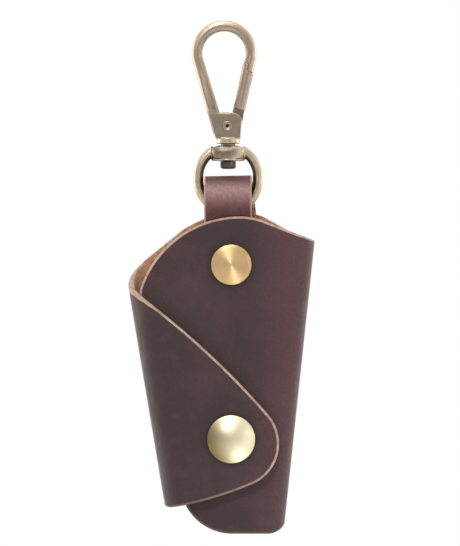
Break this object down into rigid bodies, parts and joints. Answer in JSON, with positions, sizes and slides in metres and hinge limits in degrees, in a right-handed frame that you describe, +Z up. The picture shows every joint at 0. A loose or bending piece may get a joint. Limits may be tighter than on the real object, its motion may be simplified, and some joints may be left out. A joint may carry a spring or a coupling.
{
  "type": "key case",
  "caption": "Wrapped leather key case with a diagonal snap flap, an inner split ring and a swivel trigger clasp at the top.",
  "frame": {"origin": "inside top of the hook's eye, on the axis of the swivel, where the part hangs", "axes": "+Z up along the swivel axis, -Y out of the front where the flap closes, +X to the right of the front view"},
  "size_m": [0.0596, 0.0196, 0.1639],
  "materials": {
    "antique": "antique brass, satin",
    "pin_brass": "antique brass, worn bright",
    "screw_brass": "face-turned brass",
    "snap_brass": "polished pale brass",
    "spring_steel": "drawn wire",
    "ring_steel": "nickel plate",
    "case_leather": "dark wine-brown pull-up leather, raw tan edges",
    "tab_leather": "dark wine-brown pull-up leather, raw tan edges"
  },
  "bodies": {
    "hook": {"hook_body": "antique", "gate_pin": "pin_brass", "gate_spring": "spring_steel", "swivel_post": "antique"},
    "gate": {"hook_gate": "antique"},
    "ring": {"swivel_ring": "antique"},
    "case": {"ring_tab": "tab_leather", "key_tab": "tab_leather", "case_wrap": "case_leather", "screw_head": "screw_brass", "screw_post": "screw_brass", "snap_stud": "snap_brass", "snap_eyelet": "snap_brass"},
    "flap": {"case_flap": "case_leather", "snap_cap": "snap_brass", "snap_socket": "snap_brass", "snap_wire": "spring_steel"},
    "key_ring": {"key_ring": "ring_steel"}
  },
  "joints": [
    {"name": "gate_turn", "type": "hinge", "parent": "hook", "child": "gate", "pos_m": [-0.00022, 0, -0.03033], "axis": [0, -1, 0], "range_deg": [0, 28], "stiffness_Nm_per_rad": 0.02, "springref_deg": -17.19, "deforming": ["gate_spring"]},
    {"name": "ring_swivel", "type": "hinge", "parent": "hook", "child": "ring", "pos_m": [0, 0, -0.0393], "axis": [0, 0, 1], "continuous": true},
    {"name": "case_swing", "type": "hinge", "parent": "ring", "child": "case", "pos_m": [0, 0, -0.05718], "axis": [1, 0, 0], "range_deg": [-20, 20]},
    {"name": "flap_open", "type": "hinge", "parent": "case", "child": "flap", "pos_m": [-0.0331, -0.002, -0.07469], "axis": [0.165, 0, -0.9863], "range_deg": [0, 150], "deforming": ["snap_wire"]},
    {"name": "key_ring_turn", "type": "hinge", "parent": "case", "child": "key_ring", "pos_m": [0.0011, 0, -0.10249], "axis": [0, 1, 0], "continuous": true}
  ]
}
